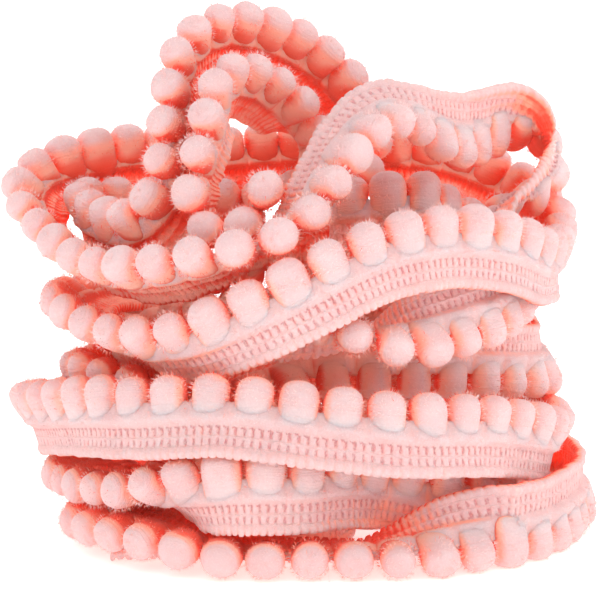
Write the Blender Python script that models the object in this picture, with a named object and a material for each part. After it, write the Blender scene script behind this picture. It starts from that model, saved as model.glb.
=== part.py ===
# Pompom trim wound up into a loose roll: one knitted tape with a row of yarn pompoms along one edge.
# Lengths are in millimetres and become metres when the meshes are written.
# +Z is up, the front of the roll faces -Y, and the roll stands on the plane z = 0.

import bmesh
import bpy
import numpy as np

MM = 0.001

# The trim
POMPOM_COUNT = 300
TAPE_WIDTH = 10.0
POMPOM_RISE = 3.0            # from the tape's edge to a pompom's centre
TAPE_DROP = (POMPOM_RISE, POMPOM_RISE + TAPE_WIDTH / 2, POMPOM_RISE + TAPE_WIDTH)
TAPE_THICKNESS = (2.6, 1.3, 1.8)     # at the pompoms' roots, the web and the corded far edge

# A pompom is a stack of six-sided rings that grows out of the tape's edge
RING_SIDES = 6
RING_RISE = (-2.0, 0.0, 3.7)         # from the pompom's centre, the last one its flat tip
RING_RADIUS = (2.3, 4.15, 1.9)

# The trim is made in pieces of about this many pompoms, parted by a gap
PIECE_POMPOMS = 6
PIECE_GAP = 0.3

# How the route is rounded off, and how its turns are kept off each other
ROUTE_SMOOTHING = 2
EASE_ROUNDS = 140
EASE_CLEARANCE = 1.0
EASE_MOVE = 1.3              # how much of a push is taken up in one round
EASE_TILT = 0.03             # the lean's turn for each unit of push times its lever
EASE_LIFT = 0.6              # how much of its depth under the floor a stretch rises in one round
EASE_KEEP = 0.98             # how much of its shift so far a stretch keeps, to stay near its stations
NEAR_ROUNDS = 8              # the rounds between two searches for near stretches
NEAR_LENGTH = 14.0           # stretches closer than this along the trim are the same stretch
PROBE_REACH = 13.0           # no two probes further apart than this are compared
PROBE_DEPTH = np.array([0.0, 4.6, 6.9, 9.3, 11.7])       # from the pompom's centre toward the selvedge
PROBE_RADIUS = np.array([4.0, 1.7, 1.5, 1.4, 1.3])
BARE_PROBE_RADIUS = 1.5      # at the pompoms' line, between two pompoms

# Pompoms that point this steeply down and lie this low stand upright on the floor
UPRIGHT = -0.95
FLOOR_REACH = 5.0

COLOUR = (0.93, 0.60, 0.57, 1.0)
ROUGHNESS = 0.95

# The route of the pompoms' centres, turn by turn from the loose end on the floor to the end inside the
# top loops. Each station is x, y, z, then the way its pompom points from the tape, x, y, z in tenths.
ROUTE = {
    "loose_end": [
        (-43, -26, 5, 0, 9, 4), (-28, -26, 6, 0, 9, 4), (-10, -25, 8, 0, 8, 7),
        (6, -20, 11, 2, 4, 9), (15, -8, 13, 2, 0, 10), (12, 6, 13, 0, 0, 10),
        (-2, 13, 12, 0, 0, 10), (-20, 13, 11, -1, 3, 9), (-36, 8, 8, -5, 5, 6),
        (-46, -4, 6, -10, 1, 2),
    ],
    "turn_1": [
        (-50, -20, 6, -8, -6, -2), (-41, -35, 6, -4, -9, -2), (-28, -46, 6, -1, -10, -1),
        (-13, -50, 4, 0, -10, 0), (4, -50, 4, 0, -10, 0), (14, -50, 4, 0, -10, 0),
        (22, -50, 4, 0, -10, -3), (30, -48, 4, 0, -8, -6), (38, -44, 4, 0, -5, -8),
        (46, -38, 4, 0, -2, -10), (53, -31, 4, 1, 0, -10), (61, -17, 4, 2, 0, -10), (67, 0, 4, 2, 0, -10),
        (68, 15, 4, 2, 0, -10), (60, 28, 4, 3, 4, -9), (38, 37, 4, 0, 8, -5),
        (8, 39, 4, 0, 10, 0), (-22, 36, 5, -1, 10, 0), (-44, 26, 8, -5, 8, 1),
    ],
    "turn_2": [
        (-55, 10, 11, -9, 3, 2), (-56, -5, 12, -10, -1, 2), (-50, -20, 12, -8, -6, -1),
        (-43, -32, 14, -4, -9, -2), (-36, -40, 15, -2, -9, 2), (-28, -47, 19, -1, -6, 8),
        (-19, -51, 22, 0, -1, 10), (-10, -52, 23, 0, 0, 10), (0, -49, 22, 0, 0, 10),
        (8, -43, 22, 0, 0, 10), (15, -37, 21, 0, 0, 10), (23, -32, 19, 0, 0, 10),
        (32, -32, 17, 0, 0, 10), (40, -28, 17, 0, 0, 10), (46, -21, 17, 1, 0, 10),
        (49, -10, 18, 1, 0, 10), (47, 5, 20, 0, 0, 10), (35, 19, 22, 0, 0, 10),
        (8, 28, 23, 0, 0, 10), (-24, 29, 24, 0, 0, 10), (-48, 22, 27, -1, 3, 9),
    ],
    "turn_3": [
        (-62, 11, 29, -3, 2, 9), (-65, 0, 30, -3, 1, 9), (-58, -15, 32, -3, 0, 10),
        (-47, -31, 35, -1, 0, 10), (-31, -45, 37, 0, 2, 10), (-14, -50, 38, 0, 4, 9),
        (3, -51, 36, 0, 4, 9), (22, -49, 34, 0, 3, 10), (37, -41, 33, 0, 1, 10),
        (50, -28, 30, 0, 0, 10), (58, -16, 27, 1, 0, 10), (61, -2, 27, 3, 0, 10),
        (58, 12, 30, 2, 1, 10), (44, 26, 34, 0, 2, 10), (10, 32, 39, 0, 1, 10),
        (-22, 30, 40, 0, 1, 10), (-42, 18, 39, -3, 3, 9),
    ],
    "turn_4": [
        (-51, 5, 38, -4, 2, 9), (-51, -9, 39, -2, 0, 10), (-42, -24, 39, 0, -2, 10),
        (-28, -32, 37, 0, -7, 7), (-12, -30, 35, 0, -10, -2), (4, -26, 37, 0, -4, -9),
        (22, -24, 37, 0, 0, -10), (40, -17, 36, 0, 0, -10), (53, -6, 34, 0, 0, -10),
        (60, 7, 33, 1, 0, -10), (56, 22, 37, 3, 3, -9), (38, 34, 44, 2, 8, -6),
        (8, 37, 48, 0, 10, -1), (-22, 32, 49, -1, 8, 6), (-42, 17, 48, -1, 2, 10),
    ],
    "turn_5": [
        (-42, -3, 46, 1, 0, 10), (-35, -19, 48, 0, 0, 10), (-23, -34, 52, 0, 0, 10),
        (-8, -41, 56, 0, -2, 10), (4, -43, 52, 0, -7, 7), (14, -45, 48, 0, -10, -1),
        (24, -43, 46, 0, -8, -6), (41, -30, 49, 0, -3, -10), (51, -13, 53, 2, -1, -10),
        (54, -3, 56, 3, 0, -10), (50, 13, 57, 2, 1, -10), (36, 27, 58, 1, 3, -10),
        (14, 32, 58, 0, 4, -9), (-14, 31, 57, 0, 8, -6), (-38, 24, 54, -4, 8, 3),
    ],
    "turn_6": [
        (-54, 8, 53, -8, 4, 4), (-54, -14, 53, -8, -4, 4), (-41, -33, 48, -3, -8, 5),
        (-29, -45, 48, -1, -6, 8), (-15, -51, 54, -1, -2, 10), (2, -52, 63, -1, 0, 10),
        (15, -48, 69, 0, 0, 10), (30, -40, 72, 0, 0, 10), (46, -28, 70, 0, 0, 10),
        (55, -12, 66, 2, 0, 10), (61, 4, 68, 1, 0, 10), (62, 24, 77, 1, 1, 10),
        (50, 36, 87, 0, 1, 10), (34, 41, 92, 0, 1, 10), (12, 41, 93, 0, 0, 10), (-8, 38, 93, 0, 1, 10),
        (-26, 31, 91, 0, 1, 10),
    ],
    "left_loop": [
        (-42, 24, 92, 0, 1, 10), (-50, 18, 90, 0, 1, 10), (-58, 12, 88, -2, 1, 10),
        (-64, 4, 84, -6, 2, 7), (-65, -4, 78, -8, 0, 6), (-59, -12, 72, -7, -3, 7),
        (-47, -28, 64, -5, -7, 5), (-34, -42, 63, -1, -8, 5), (-18, -50, 66, 0, -8, 5),
        (-9, -52, 68, 1, -9, 1),
    ],
    "ridge": [
        (-1, -49, 71, 2, -9, 0), (5, -44, 77, 5, -8, -1), (9, -39, 84, 4, -9, -3),
        (14, -33, 90, 4, -9, -4), (19, -27, 94, 2, -9, -4), (25, -20, 94, 0, -8, -5),
        (31, -13, 90, 0, -5, -8), (37, -5, 88, 0, -2, -10), (42, 4, 89, 0, 3, -9),
        (47, 11, 92, 0, 7, -7), (53, 17, 94, 0, 9, -3), (60, 19, 93, 0, 10, 0),
        (65, 18, 88, 2, 10, 0), (63, 17, 80, 5, 8, 0), (55, 14, 75, 6, 8, -1),
        (46, 11, 73, 2, 9, -2), (40, 8, 72, 0, 10, 1), (35, 4, 77, -1, 7, 7),
        (29, -4, 80, 0, 1, 10), (20, -4, 79, 0, 0, 10), (9, 0, 78, 0, 0, 10), (8, 10, 78, 0, 0, 10),
        (15, 18, 81, 1, -4, 9),
    ],
    "outer_arch": [
        (19, 22, 87, 4, -9, 2), (19, 25, 96, 6, -8, 1), (15, 25, 105, 6, -6, 5), (11, 23, 110, 5, -4, 8),
        (4, 18, 115, 4, -5, 8), (-3, 12, 118, 3, -5, 8), (-10, 5, 119, 1, -6, 8),
        (-17, -2, 119, 0, -7, 7), (-23, -9, 115, -2, -8, 6), (-27, -16, 110, -4, -9, 3),
        (-28, -20, 102, -4, -9, 1), (-29, -24, 93, -4, -9, 0), (-29, -28, 85, -6, -8, 0),
        (-30, -31, 78, -8, -6, 1), (-36, -28, 73, -6, -3, 7), (-42, -18, 73, -2, 0, 10),
        (-49, -8, 76, -2, 0, 10), (-53, 2, 78, -3, 0, 10), (-46, 12, 78, 0, 2, 10),
        (-31, 17, 78, 0, -3, 10), (-20, 18, 78, 0, -7, 7), (-10, 18, 78, 0, -10, 1),
        (0, 16, 80, 1, -10, -2),
    ],
    "inner_arch": [
        (6, 11, 88, 6, -7, -3), (4, 6, 96, 9, -4, 2), (-2, 0, 102, 6, -5, 6),
        (-8, -8, 106, 2, -6, 7), (-14, -16, 106, -1, -8, 6), (-18, -24, 102, -3, -9, 1),
        (-19, -29, 96, -3, -9, 0), (-20, -33, 89, -3, -9, 0), (-22, -36, 83, -3, -9, 0),
        (-23, -36, 76, -3, -9, 0), (-20, -37, 69, -1, -9, 1), (-11, -39, 69, 1, -9, 2),
        (-8, -40, 76, 2, -9, 2), (-5, -39, 83, 1, -9, 2),
    ],
}


def curve_through(stations, steps=24):
    """A smooth curve through the stations, with centripetal Catmull-Rom spans."""
    rows = np.vstack([2 * stations[0] - stations[1], stations, 2 * stations[-1] - stations[-2]])
    gaps = np.linalg.norm(np.diff(rows[:, :3], axis=0), axis=1)
    knots = np.concatenate([[0.0], np.cumsum(np.sqrt(gaps))])
    spans = []
    for first in range(len(rows) - 3):
        t0, t1, t2, t3 = knots[first:first + 4]
        p0, p1, p2, p3 = rows[first:first + 4]
        t = np.linspace(t1, t2, steps, endpoint=False)[:, None]
        a1 = ((t1 - t) * p0 + (t - t0) * p1) / (t1 - t0)
        a2 = ((t2 - t) * p1 + (t - t1) * p2) / (t2 - t1)
        a3 = ((t3 - t) * p2 + (t - t2) * p3) / (t3 - t2)
        b1 = ((t2 - t) * a1 + (t - t0) * a2) / (t2 - t0)
        b2 = ((t3 - t) * a2 + (t - t1) * a3) / (t3 - t1)
        spans.append(((t2 - t) * b1 + (t - t1) * b2) / (t2 - t1))
    return np.vstack(spans + [stations[-1:]])


def even_steps(curve, count):
    """The curve again, at evenly spaced lengths, with count steps."""
    lengths = np.linalg.norm(np.diff(curve[:, :3], axis=0), axis=1)
    along = np.concatenate([[0.0], np.cumsum(lengths)])
    at = np.linspace(0.0, along[-1], count + 1)
    return np.stack([np.interp(at, along, column) for column in curve.T], axis=1)


def square_to(axes, vectors):
    """Unit vectors, each turned square to its own unit axis."""
    vectors = vectors - (vectors * axes).sum(axis=1)[:, None] * axes
    return vectors / np.linalg.norm(vectors, axis=1)[:, None]


def lean_across(line, lean):
    """The lean made square to the line."""
    along = np.gradient(line, axis=0)
    return square_to(along / np.linalg.norm(along, axis=1)[:, None], lean)


def smoothed(values, passes):
    """Each row averaged with its neighbours, passes times over."""
    values = values.copy()
    for _ in range(passes):
        values[1:-1] = (values[:-2] + 2 * values[1:-1] + values[2:]) / 4
    return values


def near_pairs(probes, section, step):
    """The pairs of probes within reach of each other that lie on different stretches."""
    square = (probes ** 2).sum(axis=1)
    distance = square[:, None] + square[None] - 2 * probes @ probes.T
    first, second = np.nonzero(np.triu(distance < PROBE_REACH ** 2))
    apart = np.abs(section[first] - section[second]) * step > NEAR_LENGTH
    return first[apart], second[apart]


def eased_apart(line, lean, step):
    """The line and lean with every stretch pushed clear of the others, and up off the floor."""
    count = len(line)
    depth = np.tile(PROBE_DEPTH, count)
    section = np.repeat(np.arange(count), len(PROBE_DEPTH))
    radius = np.tile(PROBE_RADIUS, count)
    radius[(depth == 0) & (section % 2 == 0)] = BARE_PROBE_RADIUS
    lever = (TAPE_WIDTH + POMPOM_RISE) / 2 - depth
    line_start = line
    lean_start = lean
    for turn in range(EASE_ROUNDS):
        probes = line[section] - lean[section] * depth[:, None]
        if turn % NEAR_ROUNDS == 0:
            first, second = near_pairs(probes, section, step)
        between = probes[first] - probes[second]
        distance = np.linalg.norm(between, axis=1)
        overlap = radius[first] + radius[second] + EASE_CLEARANCE - distance
        hit = overlap > 0
        push = between[hit] * (overlap[hit] / distance[hit] / 2)[:, None]
        move = np.zeros((count, 3))
        tilt = np.zeros((count, 3))
        hits = np.zeros(count)
        for probe, way in ((first[hit], 1), (second[hit], -1)):
            at = section[probe]
            hits += np.bincount(at, minlength=count)
            for axis in range(3):
                move[:, axis] += np.bincount(at, way * push[:, axis], count)
                tilt[:, axis] += np.bincount(at, way * push[:, axis] * lever[probe], count)
        share = 1 / np.maximum(hits, 1)[:, None]
        sunk = (radius - probes[:, 2]).reshape(count, -1).max(axis=1)
        move = move * share
        move[:, 2] += EASE_LIFT * np.maximum(sunk, 0)
        line = line_start + EASE_KEEP * smoothed(line + EASE_MOVE * smoothed(move, 3) - line_start, 2)
        lean = lean_start + EASE_KEEP * smoothed(lean + EASE_TILT * smoothed(tilt * share, 3) - lean_start, 1)
        lean = lean_across(line, lean)
    return line, lean


def stood_on_floor(line, lean):
    """The line and lean with the low pompoms that point down set upright, and nothing under z = 0."""
    upright = (lean[:, 2] < UPRIGHT) & (line[:, 2] < FLOOR_REACH)
    line = line.copy()
    lean = lean.copy()
    line[upright, 2] = RING_RISE[-1]
    lean[upright] = (0.0, 0.0, -1.0)
    steepness = lean[:, 2]
    levelness = np.sqrt(1 - steepness ** 2)
    reach = [r * levelness - rise * steepness for rise, r in zip(RING_RISE, RING_RADIUS)]
    reach += [t / 2 * levelness + drop * steepness for drop, t in zip(TAPE_DROP, TAPE_THICKNESS)]
    line[:, 2] = np.maximum(line[:, 2], np.max(reach, axis=0))
    return line, lean


def trim_route():
    """The trim's centre line and lean, at each pompom and halfway between, standing on z = 0."""
    stations = np.array([station for turn in ROUTE.values() for station in turn], dtype=float)
    half_steps = 2 * POMPOM_COUNT
    route = even_steps(curve_through(stations), half_steps)
    route = even_steps(smoothed(route, ROUTE_SMOOTHING), half_steps)
    line = route[:, :3]
    lean = lean_across(line, route[:, 3:])
    step = np.linalg.norm(np.diff(line, axis=0), axis=1).mean()
    line, lean = eased_apart(line, lean, step)
    line, lean = stood_on_floor(line, lean)
    middle = (line.min(axis=0) + line.max(axis=0)) / 2
    return line - (middle[0], middle[1], 0.0), lean


def tape_section(centre, lean, across):
    """The six corners of the tape's section, round from one side of the pompoms' edge to the other."""
    near = [centre - lean * drop + across * t / 2 for drop, t in zip(TAPE_DROP, TAPE_THICKNESS)]
    far = [centre - lean * drop - across * t / 2 for drop, t in zip(TAPE_DROP, TAPE_THICKNESS)]
    return near + far[::-1]


def pompom_rings(centre, along, lean, across):
    """The rings of one pompom, from its root to its tip."""
    turn = 2 * np.pi * (np.arange(RING_SIDES) + 0.5) / RING_SIDES
    spokes = np.cos(turn)[:, None] * along + np.sin(turn)[:, None] * across
    return [centre + lean * rise + spokes * radius for rise, radius in zip(RING_RISE, RING_RADIUS)]


def add_piece(name, line, lean, along, collection):
    """One stretch of tape with its pompoms, as a closed mesh; pompoms stand at the odd steps."""
    across = np.cross(along, lean)
    bm = bmesh.new()

    def corners(points):
        return [bm.verts.new(point * MM) for point in points]

    sections = [corners(tape_section(line[i], lean[i], across[i])) for i in range(0, len(line), 2)]
    bm.faces.new(sections[0][::-1])
    bm.faces.new(sections[-1])
    for here, there in zip(sections, sections[1:]):
        add_tape(bm, here, there)
    for number, (here, there) in enumerate(zip(sections, sections[1:])):
        middle = 2 * number + 1
        rings = [corners(ring) for ring in
                 pompom_rings(line[middle], along[middle], lean[middle], across[middle])]
        add_root(bm, here, there, rings[0])
        for low, high in zip(rings, rings[1:]):
            for side in range(RING_SIDES):
                after = (side + 1) % RING_SIDES
                bm.faces.new((low[side], low[after], high[after], high[side]))
        bm.faces.new(rings[-1])
    bmesh.ops.recalc_face_normals(bm, faces=bm.faces)
    mesh = bpy.data.meshes.new(name)
    bm.to_mesh(mesh)
    bm.free()
    piece = bpy.data.objects.new(name, mesh)
    piece.data.materials.append(yarn_material(name))
    collection.objects.link(piece)


def add_tape(bm, here, there):
    """The tape's faces between two sections, cut along the same diagonal on both sides of the tape."""
    sides = len(here) - 1
    for side in range(sides):
        if side < sides / 2:
            bm.faces.new((here[side], here[side + 1], there[side + 1]))
            bm.faces.new((here[side], there[side + 1], there[side]))
        else:
            bm.faces.new((here[side], here[side + 1], there[side]))
            bm.faces.new((here[side + 1], there[side + 1], there[side]))


def add_root(bm, here, there, ring):
    """The faces from the tape's edge between two sections to the first ring of its pompom."""
    near, far = 0, -1
    bm.faces.new((here[near], there[near], ring[0], ring[1], ring[2]))
    bm.faces.new((there[near], there[far], ring[5], ring[0]))
    bm.faces.new((there[far], here[far], ring[3], ring[4], ring[5]))
    bm.faces.new((here[far], here[near], ring[2], ring[3]))


def yarn_material(name):
    material = bpy.data.materials.new(name + "_yarn")
    material.use_nodes = True
    shader = material.node_tree.nodes["Principled BSDF"]
    shader.inputs["Base Color"].default_value = COLOUR
    shader.inputs["Roughness"].default_value = ROUGHNESS
    shader.inputs["Metallic"].default_value = 0.0
    material.diffuse_color = COLOUR
    return material


def main():
    for thing in list(bpy.data.objects):
        bpy.data.objects.remove(thing, do_unlink=True)
    collection = bpy.data.collections.new("pompom_trim_roll")
    bpy.context.scene.collection.children.link(collection)
    line, lean = trim_route()
    along = square_to(lean, np.gradient(line, axis=0))
    piece_count = round(POMPOM_COUNT / PIECE_POMPOMS)
    cuts = np.round(np.linspace(0, POMPOM_COUNT, piece_count + 1)).astype(int) * 2
    for number, (start, end) in enumerate(zip(cuts, cuts[1:])):
        stretch = slice(start, end + 1)
        centres = line[stretch].copy()
        centres[0] += along[start] * PIECE_GAP / 2
        centres[-1] -= along[end] * PIECE_GAP / 2
        add_piece("trim_%02d" % (number + 1), centres, lean[stretch], along[stretch], collection)


main()
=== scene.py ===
import math

import bpy
import numpy as np
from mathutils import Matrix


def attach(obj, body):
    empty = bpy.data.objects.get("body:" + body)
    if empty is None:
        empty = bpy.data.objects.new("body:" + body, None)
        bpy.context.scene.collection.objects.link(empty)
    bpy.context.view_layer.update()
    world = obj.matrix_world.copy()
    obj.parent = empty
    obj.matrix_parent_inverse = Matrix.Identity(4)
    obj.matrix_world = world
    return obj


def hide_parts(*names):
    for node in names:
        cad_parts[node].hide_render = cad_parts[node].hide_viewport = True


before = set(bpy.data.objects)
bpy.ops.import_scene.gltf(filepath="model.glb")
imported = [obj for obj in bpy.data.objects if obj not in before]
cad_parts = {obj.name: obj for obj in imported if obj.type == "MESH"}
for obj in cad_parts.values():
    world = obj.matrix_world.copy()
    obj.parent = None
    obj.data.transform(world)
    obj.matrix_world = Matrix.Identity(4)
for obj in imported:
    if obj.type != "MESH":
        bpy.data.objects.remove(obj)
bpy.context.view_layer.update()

# A strip of knitted pompom trim, wound by hand into a loose upright roll on a pale table.
# The trim follows the same route as the solids: the row of pompom centres, and at each one the
# way it leans. Lengths are in millimetres and turn into metres where a mesh is written.

mm = 0.001

trim = {
    "pompoms": 300,
    "tapeWidth": 10.0,
    "pompomRise": 3.0,           # from the tape's edge to a pompom's centre
    "tapeDrop": (3.0, 8.0, 13.0),        # the solid tape's section, from the pompom's centre down
    "tapeThickness": (2.6, 1.3, 1.8),
    "solidRise": (-2.0, 0.0, 3.7),       # the solid pompom's rings
    "solidRadius": (2.3, 4.15, 1.9),
    "routeSmoothing": 2,
    # round by round, turns that press too deep into each other are eased apart
    "easeRounds": 140,
    "easeClearance": 1.0,        # gap to be left between two probes
    "easeMove": 1.3,             # how far a push moves the line, tips the lean and lifts the line
    "easeTilt": 0.03,
    "easeLift": 0.6,
    "easeKeep": 0.98,            # share of the shift so far that each round keeps
    "pushSmoothing": 3,          # smoothing passes over the pushes, the line and the lean
    "lineSmoothing": 2,
    "leanSmoothing": 1,
    "nearRounds": 8,             # rounds from one search for near pairs to the next
    "nearLength": 14.0,          # least length of trim between the two of a pair
    "probeReach": 13.0,          # greatest distance between them
    "probeDepth": np.array([0.0, 4.6, 6.9, 9.3, 11.7]),      # round probes down from the line
    "probeRadius": np.array([4.0, 1.7, 1.5, 1.4, 1.3]),
    "bareProbeRadius": 1.5,      # of the top one between two pompoms
    "upright": -0.95,            # pompoms that point down more than this and lie lower than this
    "floorReach": 5.0,           # stand straight on the table
    "frameReach": 0.2,           # half steps looked ahead and behind for the line's direction
    "splitAt": 148,              # each kind of piece is in two lengths, which meet behind the roll
    "lowest": 0.06,              # nothing reaches under this height on the table
    "fuller": 0.11,              # share by which the trim is fuller behind, as less presses on it
    "fullerFrom": (2.0, 22.0),   # y where it starts and where it is full
    "ballRadius": 4.0,           # of the balls and the tape below them, as they shelter each other
    "tapeMiddle": 8.0,
    "shelterRange": (0.5, 1.75),
    "shelterChunk": 20000,       # points worked out together
    "mapLength": 20.0,           # v of the map is a length over this
}

# Turn by turn, from the loose end on the table to the end inside the top loops.
# Each station is x, y, z, then the way its pompom points from the tape, x, y, z in tenths.
route = {
    "looseEnd": [
        (-43, -26, 5, 0, 9, 4), (-28, -26, 6, 0, 9, 4), (-10, -25, 8, 0, 8, 7),
        (6, -20, 11, 2, 4, 9), (15, -8, 13, 2, 0, 10), (12, 6, 13, 0, 0, 10),
        (-2, 13, 12, 0, 0, 10), (-20, 13, 11, -1, 3, 9), (-36, 8, 8, -5, 5, 6),
        (-46, -4, 6, -10, 1, 2),
    ],
    "turn1": [
        (-50, -20, 6, -8, -6, -2), (-41, -35, 6, -4, -9, -2), (-28, -46, 6, -1, -10, -1),
        (-13, -50, 4, 0, -10, 0), (4, -50, 4, 0, -10, 0), (14, -50, 4, 0, -10, 0),
        (22, -50, 4, 0, -10, -3), (30, -48, 4, 0, -8, -6), (38, -44, 4, 0, -5, -8),
        (46, -38, 4, 0, -2, -10), (53, -31, 4, 1, 0, -10), (61, -17, 4, 2, 0, -10),
        (67, 0, 4, 2, 0, -10), (68, 15, 4, 2, 0, -10), (60, 28, 4, 3, 4, -9),
        (38, 37, 4, 0, 8, -5), (8, 39, 4, 0, 10, 0), (-22, 36, 5, -1, 10, 0),
        (-44, 26, 8, -5, 8, 1),
    ],
    "turn2": [
        (-55, 10, 11, -9, 3, 2), (-56, -5, 12, -10, -1, 2), (-50, -20, 12, -8, -6, -1),
        (-43, -32, 14, -4, -9, -2), (-36, -40, 15, -2, -9, 2), (-28, -47, 19, -1, -6, 8),
        (-19, -51, 22, 0, -1, 10), (-10, -52, 23, 0, 0, 10), (0, -49, 22, 0, 0, 10),
        (8, -43, 22, 0, 0, 10), (15, -37, 21, 0, 0, 10), (23, -32, 19, 0, 0, 10),
        (32, -32, 17, 0, 0, 10), (40, -28, 17, 0, 0, 10), (46, -21, 17, 1, 0, 10),
        (49, -10, 18, 1, 0, 10), (47, 5, 20, 0, 0, 10), (35, 19, 22, 0, 0, 10),
        (8, 28, 23, 0, 0, 10), (-24, 29, 24, 0, 0, 10), (-48, 22, 27, -1, 3, 9),
    ],
    "turn3": [
        (-62, 11, 29, -3, 2, 9), (-65, 0, 30, -3, 1, 9), (-58, -15, 32, -3, 0, 10),
        (-47, -31, 35, -1, 0, 10), (-31, -45, 37, 0, 2, 10), (-14, -50, 38, 0, 4, 9),
        (3, -51, 36, 0, 4, 9), (22, -49, 34, 0, 3, 10), (37, -41, 33, 0, 1, 10),
        (50, -28, 30, 0, 0, 10), (58, -16, 27, 1, 0, 10), (61, -2, 27, 3, 0, 10),
        (58, 12, 30, 2, 1, 10), (44, 26, 34, 0, 2, 10), (10, 32, 39, 0, 1, 10),
        (-22, 30, 40, 0, 1, 10), (-42, 18, 39, -3, 3, 9),
    ],
    "turn4": [
        (-51, 5, 38, -4, 2, 9), (-51, -9, 39, -2, 0, 10), (-42, -24, 39, 0, -2, 10),
        (-28, -32, 37, 0, -7, 7), (-12, -30, 35, 0, -10, -2), (4, -26, 37, 0, -4, -9),
        (22, -24, 37, 0, 0, -10), (40, -17, 36, 0, 0, -10), (53, -6, 34, 0, 0, -10),
        (60, 7, 33, 1, 0, -10), (56, 22, 37, 3, 3, -9), (38, 34, 44, 2, 8, -6),
        (8, 37, 48, 0, 10, -1), (-22, 32, 49, -1, 8, 6), (-42, 17, 48, -1, 2, 10),
    ],
    "turn5": [
        (-42, -3, 46, 1, 0, 10), (-35, -19, 48, 0, 0, 10), (-23, -34, 52, 0, 0, 10),
        (-8, -41, 56, 0, -2, 10), (4, -43, 52, 0, -7, 7), (14, -45, 48, 0, -10, -1),
        (24, -43, 46, 0, -8, -6), (41, -30, 49, 0, -3, -10), (51, -13, 53, 2, -1, -10),
        (54, -3, 56, 3, 0, -10), (50, 13, 57, 2, 1, -10), (36, 27, 58, 1, 3, -10),
        (14, 32, 58, 0, 4, -9), (-14, 31, 57, 0, 8, -6), (-38, 24, 54, -4, 8, 3),
    ],
    "turn6": [
        (-54, 8, 53, -8, 4, 4), (-54, -14, 53, -8, -4, 4), (-41, -33, 48, -3, -8, 5),
        (-29, -45, 48, -1, -6, 8), (-15, -51, 54, -1, -2, 10), (2, -52, 63, -1, 0, 10),
        (15, -48, 69, 0, 0, 10), (30, -40, 72, 0, 0, 10), (46, -28, 70, 0, 0, 10),
        (55, -12, 66, 2, 0, 10), (61, 4, 68, 1, 0, 10), (62, 24, 77, 1, 1, 10),
        (50, 36, 87, 0, 1, 10), (34, 41, 92, 0, 1, 10), (12, 41, 93, 0, 0, 10),
        (-8, 38, 93, 0, 1, 10), (-26, 31, 91, 0, 1, 10),
    ],
    "leftLoop": [
        (-42, 24, 92, 0, 1, 10), (-50, 18, 90, 0, 1, 10), (-58, 12, 88, -2, 1, 10),
        (-64, 4, 84, -6, 2, 7), (-65, -4, 78, -8, 0, 6), (-59, -12, 72, -7, -3, 7),
        (-47, -28, 64, -5, -7, 5), (-34, -42, 63, -1, -8, 5), (-18, -50, 66, 0, -8, 5),
        (-9, -52, 68, 1, -9, 1),
    ],
    "ridge": [
        (-1, -49, 71, 2, -9, 0), (5, -44, 77, 5, -8, -1), (9, -39, 84, 4, -9, -3),
        (14, -33, 90, 4, -9, -4), (19, -27, 94, 2, -9, -4), (25, -20, 94, 0, -8, -5),
        (31, -13, 90, 0, -5, -8), (37, -5, 88, 0, -2, -10), (42, 4, 89, 0, 3, -9),
        (47, 11, 92, 0, 7, -7), (53, 17, 94, 0, 9, -3), (60, 19, 93, 0, 10, 0),
        (65, 18, 88, 2, 10, 0), (63, 17, 80, 5, 8, 0), (55, 14, 75, 6, 8, -1),
        (46, 11, 73, 2, 9, -2), (40, 8, 72, 0, 10, 1), (35, 4, 77, -1, 7, 7),
        (29, -4, 80, 0, 1, 10), (20, -4, 79, 0, 0, 10), (9, 0, 78, 0, 0, 10),
        (8, 10, 78, 0, 0, 10), (15, 18, 81, 1, -4, 9),
    ],
    "outerArch": [
        (19, 22, 87, 4, -9, 2), (19, 25, 96, 6, -8, 1), (15, 25, 105, 6, -6, 5),
        (11, 23, 110, 5, -4, 8), (4, 18, 115, 4, -5, 8), (-3, 12, 118, 3, -5, 8),
        (-10, 5, 119, 1, -6, 8), (-17, -2, 119, 0, -7, 7), (-23, -9, 115, -2, -8, 6),
        (-27, -16, 110, -4, -9, 3), (-28, -20, 102, -4, -9, 1), (-29, -24, 93, -4, -9, 0),
        (-29, -28, 85, -6, -8, 0), (-30, -31, 78, -8, -6, 1), (-36, -28, 73, -6, -3, 7),
        (-42, -18, 73, -2, 0, 10), (-49, -8, 76, -2, 0, 10), (-53, 2, 78, -3, 0, 10),
        (-46, 12, 78, 0, 2, 10), (-31, 17, 78, 0, -3, 10), (-20, 18, 78, 0, -7, 7),
        (-10, 18, 78, 0, -10, 1), (0, 16, 80, 1, -10, -2),
    ],
    "innerArch": [
        (6, 11, 88, 6, -7, -3), (4, 6, 96, 9, -4, 2), (-2, 0, 102, 6, -5, 6),
        (-8, -8, 106, 2, -6, 7), (-14, -16, 106, -1, -8, 6), (-18, -24, 102, -3, -9, 1),
        (-19, -29, 96, -3, -9, 0), (-20, -33, 89, -3, -9, 0), (-22, -36, 83, -3, -9, 0),
        (-23, -36, 76, -3, -9, 0), (-20, -37, 69, -1, -9, 1), (-11, -39, 69, 1, -9, 2),
        (-8, -40, 76, 2, -9, 2), (-5, -39, 83, 1, -9, 2),
    ],
}


def stepLengths(rows):
    # the distance from each point to the next
    return np.linalg.norm(np.diff(rows[:, :3], axis=0), axis=1)


def unit(vectors):
    # each vector made one long
    return vectors / np.linalg.norm(vectors, axis=-1, keepdims=True)


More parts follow.
